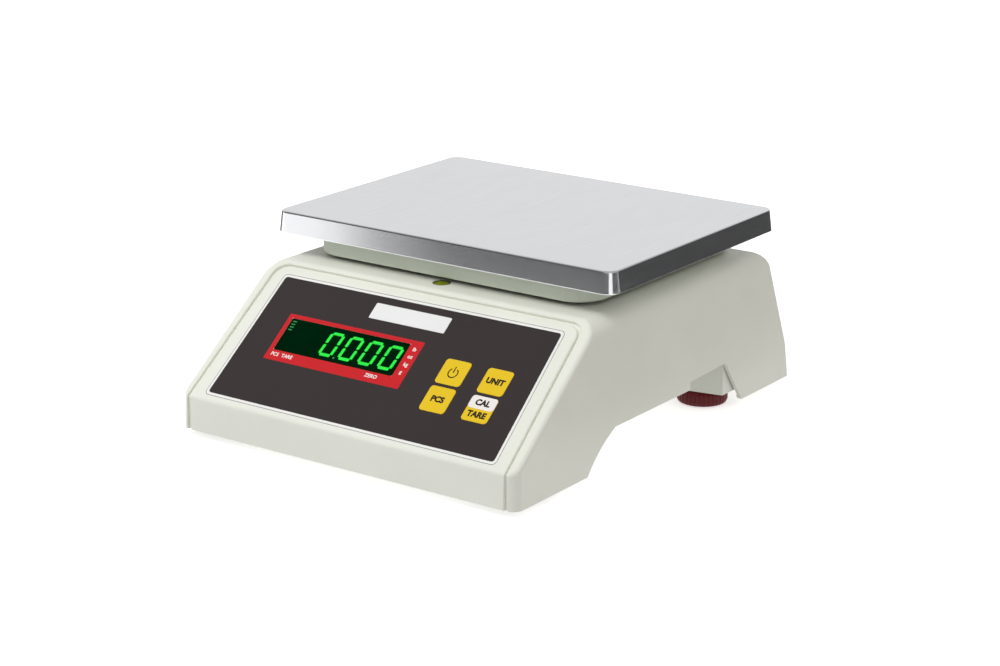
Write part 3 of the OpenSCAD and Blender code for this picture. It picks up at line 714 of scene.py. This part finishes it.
def make_keys():
    """The four keys: a power symbol on one, a white upper half on the tare key, and their names."""
    for name in KEYS:
        middle, low, high = make_key(name)
        base, top = high.z + LEGEND_GAP, high.z + LEGEND_T
        if name == "power_key":
            loops = power_symbol(middle - Vector((0, SYMBOL_DROP)))
            finished(flat_shape("power_symbol", loops, base, top, PANEL), name, "legend_black")
        elif name == "tare_key":
            field = box_loop(Vector((low.x + FIELD_INSET, middle.y)),
                             Vector((high.x - FIELD_INSET, high.y - FIELD_INSET)), FIELD_RADIUS)
            white_half = flat_shape("calibration_field", [field], base, base + FIELD_T, PANEL)
            finished(white_half, name, "legend_white")
            for words, rise in TARE_LEGENDS:
                centre = (middle.x, middle.y + rise * MM)
                make_legend(name, words, centre, base + FIELD_T, top + FIELD_T)
        else:
            make_legend(name, LEGENDS[name], middle, base, top)


BADGE_CORNER = 0.8 * MM
BADGE_PROFILE = ((0, -0.28 * MM), (0, -0.08 * MM), (0.03 * MM, -0.02 * MM), (0.1 * MM, 0))


def make_badge():
    """Plain white plate above the window."""
    replace_slab("name_badge", "badge_plate", "base", "badge_white",
                 BADGE_CORNER, BADGE_PROFILE, 4)


# ---------------------------------------------------------------- pan

PAN_FLARE = 1.9 * MM
PAN_SHEET = 0.8 * MM
PAN_EDGE = 1.2 * MM
PAN_CORNER = 10 * MM

# The profile's innermost points, and short flats beside each bend that keep the shading even
DECK_INSET = 12 * MM
DECK_FLAT = 0.4 * MM
WALL_FLAT = 0.25 * MM


def make_pan():
    """Thin pressed pan: a flat top, a folded skirt that leans outwards, and the same shape inside."""
    low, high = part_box("platter")
    width, depth, top = high.x - low.x, high.y - low.y, high.z
    sheet, edge = PAN_SHEET, PAN_EDGE
    rim = edge_arc(sheet / 2, sheet / 2, low.z + sheet / 2, -180, 0, 6)
    outer = edge_arc(edge, edge, top - edge, 0, 90, 8)
    inner = edge_arc(edge - sheet, edge, top - edge, 90, 0, 6)
    wall = [(0, low.z + sheet / 2 + WALL_FLAT), (0, top - edge - WALL_FLAT)]
    deck = edge + DECK_FLAT
    profile = [(DECK_INSET, top - sheet), (deck, top - sheet)] + inner + rim + wall + outer
    profile += [(deck, top), (DECK_INSET, top)]
    leaning = [(inset + PAN_FLARE * (height - low.z) / (top - low.z), height)
               for inset, height in profile]
    rings = slab_rings(width, depth, PAN_CORNER, leaning, 14)
    place = Matrix.Translation(((low.x + high.x) / 2, (low.y + high.y) / 2, 0))
    pan = skin("pan", rings, place=place)
    finished(pan, "pan", "pan_steel")
    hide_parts("platter")


# ---------------------------------------------------------------- housing

DRAFT = math.radians(2)
FRONT_LEAN = 0.5 * MM
REAR_LEAN = 3 * MM
REAR_BEND = 30 * MM
REAR_SLOPE = math.radians(20)
INSET = 0.05 * MM
EDGE = 3.5 * MM
FRONT_CORNER = 8 * MM
SHOULDER = 14 * MM
REAR_ROUND = 34 * MM
REAR_CREST = 20 * MM
FRONT_CREST = 7 * MM

# Facets round the corners of the side outline, the front corners and the shoulders
OUTLINE_STEPS = 8
FRONT_STEPS = 8
SHOULDER_STEPS = 10

# The ball that softens the edges, in rings of points
BALL_RINGS = 12
BALL_STEPS = 24


def body_lines(low, high):
    """Straight lines of the body's side outline, in order from the underside round by the rear.

    Each is (outward normal, offset, radius of the corner towards the next line).
    """
    rear_low = Vector((REAR_BEND - low.z, REAR_LEAN)).normalized()
    rear = Vector((math.cos(REAR_SLOPE), math.sin(REAR_SLOPE)))
    slope = Vector((PANEL_OUT.y, PANEL_OUT.z))
    slope_foot = Vector((PANEL_ORIGIN.y, PANEL_ORIGIN.z))
    rise = (slope_foot.x - low.y - FRONT_LEAN) * PANEL_UP.z / PANEL_UP.y
    front = Vector((-(slope_foot.y - rise - low.z), FRONT_LEAN)).normalized()
    return (
        (rear_low, rear_low.dot(Vector((high.y, low.z))), REAR_ROUND),
        (rear, rear.dot(Vector((high.y - REAR_LEAN, REAR_BEND))), REAR_CREST),
        (Vector((0, 1)), high.z, FRONT_CREST),
        (slope, slope.dot(slope_foot), EDGE),
        (front, front.dot(Vector((low.y, low.z))), EDGE),
    )


def corner_planes(first, second, radius, steps):
    """Planes (normal, offset) round the corner of two planes, all tangent to one cylinder."""
    (n1, d1), (n2, d2) = first, second
    turn = n1.angle(n2)
    planes = []
    for step in range(1, steps):
        t = step / steps
        a, b = math.sin(turn * (1 - t)) / math.sin(turn), math.sin(turn * t) / math.sin(turn)
        planes.append((a * n1 + b * n2, a * (d1 - radius) + b * (d2 - radius) + radius))
    return planes


def body_planes(low, high):
    """Every plane of the body without its softened edges, as (outward normal, offset)."""
    lines = [(Vector((0, n.x, n.y)), d, r) for n, d, r in body_lines(low, high)]
    planes = [(n, d) for n, d, _ in lines]
    for (n1, d1, radius), (n2, d2, _) in zip(lines, lines[1:]):
        if radius > EDGE:
            planes += corner_planes((n1, d1), (n2, d2), radius, OUTLINE_STEPS)
    top, front = planes[2], planes[4]
    for side in (-1, 1):
        wall_normal = Vector((side * math.cos(DRAFT), 0, math.sin(DRAFT)))
        wall = (wall_normal, wall_normal.dot(Vector((side * high.x, 0, low.z))))
        planes.append(wall)
        planes += corner_planes(wall, front, FRONT_CORNER, FRONT_STEPS)
        planes += corner_planes(wall, top, SHOULDER, SHOULDER_STEPS)
    return planes


def clip(bm, normal, offset):
    """Cuts away what lies beyond a plane and closes the cut."""
    geom = bm.verts[:] + bm.edges[:] + bm.faces[:]
    place = normal * offset / normal.length_squared
    cut = bmesh.ops.bisect_plane(bm, geom=geom, dist=0.001 * MM, plane_co=place, plane_no=normal,
                                 clear_outer=True)
    edges = [item for item in cut["geom_cut"] if isinstance(item, bmesh.types.BMEdge)]
    if edges:
        bmesh.ops.edgenet_fill(bm, edges=edges)


def make_body_skin():
    """Closed convex skin of the body, with every outer edge softened by a ball of radius EDGE.

    A cube of one metre is cut down to the body less the ball's radius. The hull of a ball at each
    of its corners is then cut off flat at the body's underside.
    """
    low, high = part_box("upper_housing")
    planes = body_planes(low, high)
    down = Vector((0, 0, -1))
    bm = bmesh.new()
    bmesh.ops.create_cube(bm, size=1)
    clip(bm, down, 3 * EDGE)
    for normal, offset in planes:
        clip(bm, normal, offset - INSET - EDGE)
    core = [vert.co.copy() for vert in bm.verts]
    bm.clear()
    ball = [normal for normal, _ in planes]
    for ring in range(1, BALL_RINGS):
        tilt = math.pi * ring / BALL_RINGS
        for i in range(BALL_STEPS):
            turn = math.tau * i / BALL_STEPS
            ball.append(Vector((math.sin(tilt) * math.cos(turn), math.sin(tilt) * math.sin(turn),
                                math.cos(tilt))))
    for place in core:
        for direction in ball:
            bm.verts.new(place + EDGE * direction)
    bmesh.ops.convex_hull(bm, input=bm.verts)
    loose = [vert for vert in bm.verts if not vert.link_faces]
    bmesh.ops.delete(bm, geom=loose, context="VERTS")
    clip(bm, down, -low.z - INSET)
    bmesh.ops.remove_doubles(bm, verts=bm.verts, dist=0.02 * MM)
    bmesh.ops.dissolve_limit(bm, angle_limit=math.radians(0.4), verts=bm.verts, edges=bm.edges)
    bmesh.ops.recalc_face_normals(bm, faces=bm.faces)
    mesh = bpy.data.meshes.new("body_skin")
    bm.to_mesh(mesh)
    bm.free()
    return new_object("body_skin", mesh)


GROOVE_X = 130.1 * MM
GROOVE_TOP_X = 125.8 * MM
GROOVE_TOP = 111.5 * MM
GROOVE_CORNER = 10 * MM
GROOVE_STEPS = 12

# How far the groove's path starts below the housing, and stands off the bend under the panel
GROOVE_START = 2 * MM
BEND_CLEARANCE = 0.1 * MM

# Across the groove and out of the surface, in millimetres
GROOVE_SECTION = ((-2.5, 0.25), (-2.1, -0.06), (-1.5, -0.4), (-1.2, -0.9), (-1.05, -2.0), (1.05, -2.0),
                  (1.2, -0.9), (1.4, -0.4), (1.8, -0.06), (2.2, 0.25))


# Limits how far a section is stretched where its path turns
LEAST_COSINE = 0.5


def sweep(name, path, section):
    """Closed solid along a path of (point, outward normal), its section given in millimetres."""
    rings = []
    for i, (point, normal) in enumerate(path):
        before = (point - path[i - 1][0]).normalized() if i else (path[1][0] - point).normalized()
        after = (path[i + 1][0] - point).normalized() if i < len(path) - 1 else before
        along = (before + after).normalized()
        side = along.cross(normal).normalized()
        stretch = 1 / max(along.dot(after), LEAST_COSINE)
        rings.append([point + side * a * stretch * MM + normal * b * MM for a, b in section])
    return skin(name, rings)


def groove_path():
    """Path of the styling groove: up the right side, across the top of the slope, down the left."""
    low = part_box("upper_housing")[0]
    foot_v = -(sheet_foot.y - (low.y + FRONT_LEAN)) / PANEL_UP.y
    slope_foot = PANEL @ Vector((GROOVE_X, foot_v, 0))
    front_out = Vector((0, -1, 0))
    bend_out = (PANEL_OUT + front_out).normalized()
    out = PANEL_OUT.normalized()
    right = [(Vector((GROOVE_X, low.y, low.z - GROOVE_START)), front_out),
             (slope_foot + bend_out * BEND_CLEARANCE, bend_out)]
    corner = Vector((GROOVE_TOP_X - GROOVE_CORNER, GROOVE_TOP - GROOVE_CORNER))
    for step in range(GROOVE_STEPS + 1):
        angle = math.radians(90 * step / GROOVE_STEPS)
        place = corner + GROOVE_CORNER * Vector((math.cos(angle), math.sin(angle)))
        right.append((PANEL @ Vector((place.x, place.y, 0)), out))
    left = [(Vector((-p.x, p.y, p.z)), n) for p, n in reversed(right)]
    return right + left


def boolean(target, cutter, operation):
    """Cuts or intersects a piece with a cutter, which is used up."""
    modifier = target.modifiers.new("cut", "BOOLEAN")
    modifier.operation = operation
    modifier.solver = "EXACT"
    modifier.object = cutter
    mesh = evaluated_mesh(target)
    target.modifiers.clear()
    target.data = mesh
    bpy.data.objects.remove(cutter)


BEVEL = 0.35 * MM
BEVEL_ANGLE = 35
SMOOTH_ANGLE = 24
FLAT_ANGLE = 0.3


def soften(piece):
    """Small bevels along the sharp edges, with flat faces kept flat by their shading."""
    bevel = piece.modifiers.new("soft_edges", "BEVEL")
    bevel.width = BEVEL
    bevel.segments = 2
    bevel.limit_method = "ANGLE"
    bevel.angle_limit = math.radians(BEVEL_ANGLE)
    bevel.use_clamp_overlap = True
    bevel.miter_outer = "MITER_ARC"
    weighted = piece.modifiers.new("flat_faces", "WEIGHTED_NORMAL")
    weighted.weight = 80
    weighted.keep_sharp = True


def make_housing():
    """The CAD housing with its outer faces exchanged for a softly rounded skin and a flared groove."""
    source = nodes["upper_housing"]
    housing = new_object("housing", source.data.copy())
    housing.matrix_world = source.matrix_world.copy()
    boolean(housing, make_body_skin(), "INTERSECT")
    boolean(housing, sweep("groove_cutter", groove_path(), GROOVE_SECTION), "DIFFERENCE")
    bm = bmesh.new()
    bm.from_mesh(housing.data)
    bmesh.ops.remove_doubles(bm, verts=bm.verts, dist=0.01 * MM)
    bmesh.ops.dissolve_limit(bm, angle_limit=math.radians(FLAT_ANGLE), verts=bm.verts, edges=bm.edges)
    bm.to_mesh(housing.data)
    bm.free()
    shade_smooth(housing.data, SMOOTH_ANGLE)
    soften(housing)
    finished(housing, "base", "housing_plastic")
    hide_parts("upper_housing")


# ---------------------------------------------------------------- foot wheels

RIBS = 36
RIB_STEPS = 6
RIB_DEPTH = 0.7 * MM

# Share of the wheel's radius, height in millimetres, and share of the ribs' depth
WHEEL_PROFILE = ((0.80, 0.55, 0), (0.93, 0.55, 0), (0.955, 1.0, 0.4), (0.975, 1.9, 1), (1.0, 2.6, 1),
                 (1.0, 9.6, 1), (0.975, 10.2, 1), (0.95, 10.55, 0.4), (0.90, 10.8, 0),
                 (0.45, 10.9, 0), (0.42, 10.6, 0))
PROFILE_FOOT = 0.55
PROFILE_HEIGHT = 10.35


def make_foot_wheels():
    """Ribbed wheels with chamfered rims and a shallow recess round the stud."""
    for name in [node for node in nodes if node.startswith("foot_wheel")]:
        low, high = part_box(name)
        radius = (high.x - low.x) / 2
        scale = (high.z - low.z) / (PROFILE_HEIGHT * MM)
        steps = RIBS * RIB_STEPS
        rings = []
        for share, height, ribbed in WHEEL_PROFILE:
            ring = []
            for i in range(steps):
                angle = math.tau * i / steps
                dip = RIB_DEPTH * ribbed * (0.5 - 0.5 * math.cos(angle * RIBS)) ** 2
                reach = radius * share - dip
                z = low.z + (height - PROFILE_FOOT) * MM * scale
                ring.append(Vector((reach * math.cos(angle), reach * math.sin(angle), z)))
            rings.append(ring)
        middle = Matrix.Translation(((low.x + high.x) / 2, (low.y + high.y) / 2, 0))
        wheel = skin(name + "_ribbed", rings, angle=40, place=middle)
        body = name.replace("foot_wheel_", "") + "_foot"
        finished(wheel, body, "foot_red")
        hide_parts(name)


# ---------------------------------------------------------------- CAD nodes

def dress(node, finish):
    """Gives a CAD node its finish."""
    data = nodes[node].data
    data.materials.clear()
    data.materials.append(finishes[finish].material)


def dress_frame():
    """Every CAD node takes the finish of its slot in the record."""
    for part in frame["record"]["subparts"]:
        dress(part["node"], part["material_slot"])
    dress("panel_sheet", "film_white")


# ---------------------------------------------------------------- studio

FLOOR_REACH = 6.0
FLOOR_LEVEL = -0.2 * MM
FLOOR_COLOUR = srgb(246, 246, 246)
FLOOR_GLOW = 0.62
WORLD_GLOW = 0.52
FILL_COLOUR = (1, 0.94, 0.84)

# How strongly each kind of reflection card glows
CARD_GLOWS = {"sky": 0.88, "wall": 0.07, "white": 1.3, "half": 0.34, "grey": 0.12, "dark": 0.07}


def card(name, centre, size, turn, finish):
    """Flat card that is only seen in reflections."""
    mesh = bpy.data.meshes.new(name)
    w, d = size[0] / 2, size[1] / 2
    mesh.from_pydata([(-w, -d, 0), (w, -d, 0), (w, d, 0), (-w, d, 0)], [], [(0, 1, 2, 3)])
    obj = new_object(name, mesh)
    obj.matrix_world = Matrix.Translation(centre) @ turn
    obj.data.materials.append(finish)
    obj.visible_camera = False
    obj.visible_diffuse = False
    obj.visible_shadow = False
    obj.visible_transmission = False


def flat_material(name, colour, strength):
    """Matt material that glows white with that strength."""
    material = bpy.data.materials.new(name)
    material.use_nodes = True
    shader = material.node_tree.nodes["Principled BSDF"]
    shader.inputs["Base Color"].default_value = colour
    shader.inputs["Roughness"].default_value = 0.9
    shader.inputs["Specular IOR Level"].default_value = 0
    shader.inputs["Emission Color"].default_value = WHITE
    shader.inputs["Emission Strength"].default_value = strength
    return material


def make_floor():
    """Pale floor that glows a little, so it stays white without lighting the object from below."""
    reach = FLOOR_REACH
    corners = [(-reach, -reach), (reach, -reach), (reach, reach), (-reach, reach)]
    mesh = bpy.data.meshes.new("floor")
    mesh.from_pydata([(x, y, FLOOR_LEVEL) for x, y in corners], [], [(0, 1, 2, 3)])
    floor = new_object("floor", mesh)
    mesh.materials.append(flat_material("floor", FLOOR_COLOUR, FLOOR_GLOW))
    floor.visible_diffuse = False


def area_light(name, place, target, size, power, colour=(1, 1, 1)):
    """Round soft light at place, facing target, that does not show in reflections."""
    data = bpy.data.lights.new(name, "AREA")
    data.shape = "DISK"
    data.size = size
    data.energy = power
    data.color = colour
    light = bpy.data.objects.new(name, data)
    bpy.context.scene.collection.objects.link(light)
    facing = (Vector(target) - Vector(place)).to_track_quat("-Z", "Y")
    light.matrix_world = Matrix.Translation(place) @ facing.to_matrix().to_4x4()
    light.visible_glossy = False


def upright(azimuth):
    """Turn that stands a card upright, its width at azimuth degrees from the X axis."""
    return Matrix.Rotation(math.radians(azimuth), 4, "Z") @ Matrix.Rotation(math.radians(90), 4, "X")


def make_studio():
    """Floor, even background, two lights and the cards that the steel pan reflects."""
    make_floor()
    world = bpy.data.worlds.new("studio")
    world.use_nodes = True
    background = world.node_tree.nodes["Background"]
    background.inputs["Color"].default_value = WHITE
    background.inputs["Strength"].default_value = WORLD_GLOW
    bpy.context.scene.world = world
    area_light("key_light", (-0.62, -1.1, 1.85), (0, -0.05, 0.08), 1.0, 25.2)
    area_light("side_fill", (1.8, 0.5, 0.7), (0.1, 0, 0.06), 1.2, 4.2, FILL_COLOUR)
    glows = {name: flat_material(name, BLACK, glow) for name, glow in CARD_GLOWS.items()}
    # Name, middle, width and height, turn, glow
    cards = (
        ("sky_card", (-1.75, 2.44, 1.1), (7, 3.2), upright(CAMERA_AZIMUTH), "sky"),
        ("front_wall", (-1.5, -1.9, 1.3), (3.4, 2.2), upright(-38), "wall"),
        ("side_wall", (1.5, 2.2, 0.5), (2.2, 1.0), upright(-34), "wall"),
        ("left_glow", (-0.92, -0.75, 0.09), (0.64, 0.18), upright(0), "white"),
        ("left_shade", (-0.58, -0.75, 0.09), (0.12, 0.18), upright(0), "half"),
        ("front_shade", (0.1, -0.75, 0.09), (1.24, 0.18), upright(0), "grey"),
        ("corner_glow", (1.05, -0.74, 0.2), (0.5, 0.4), upright(50), "white"),
        ("right_shade", (1.0, 0.1, 0.12), (1.0, 0.3), upright(90), "dark"),
        ("side_floor", (0.42, 0.34, 0.002), (0.46, 0.7), Matrix.Identity(4), "dark"),
        ("side_shade", (0.5, 0.64, 0.08), (0.66, 0.3), upright(-33), "dark"),
        ("end_shade", (-0.6, 0.3, 0.09), (0.9, 0.18), upright(70), "dark"),
    )
    for name, centre, size, turn, glow in cards:
        card(name, centre, size, turn, glows[glow])
    bpy.context.scene.view_settings.view_transform = "Standard"


make_camera()
dress_frame()
make_print()
make_red_frame()
make_display()
make_keys()
make_badge()
make_pan()
make_housing()
make_foot_wheels()
make_studio()
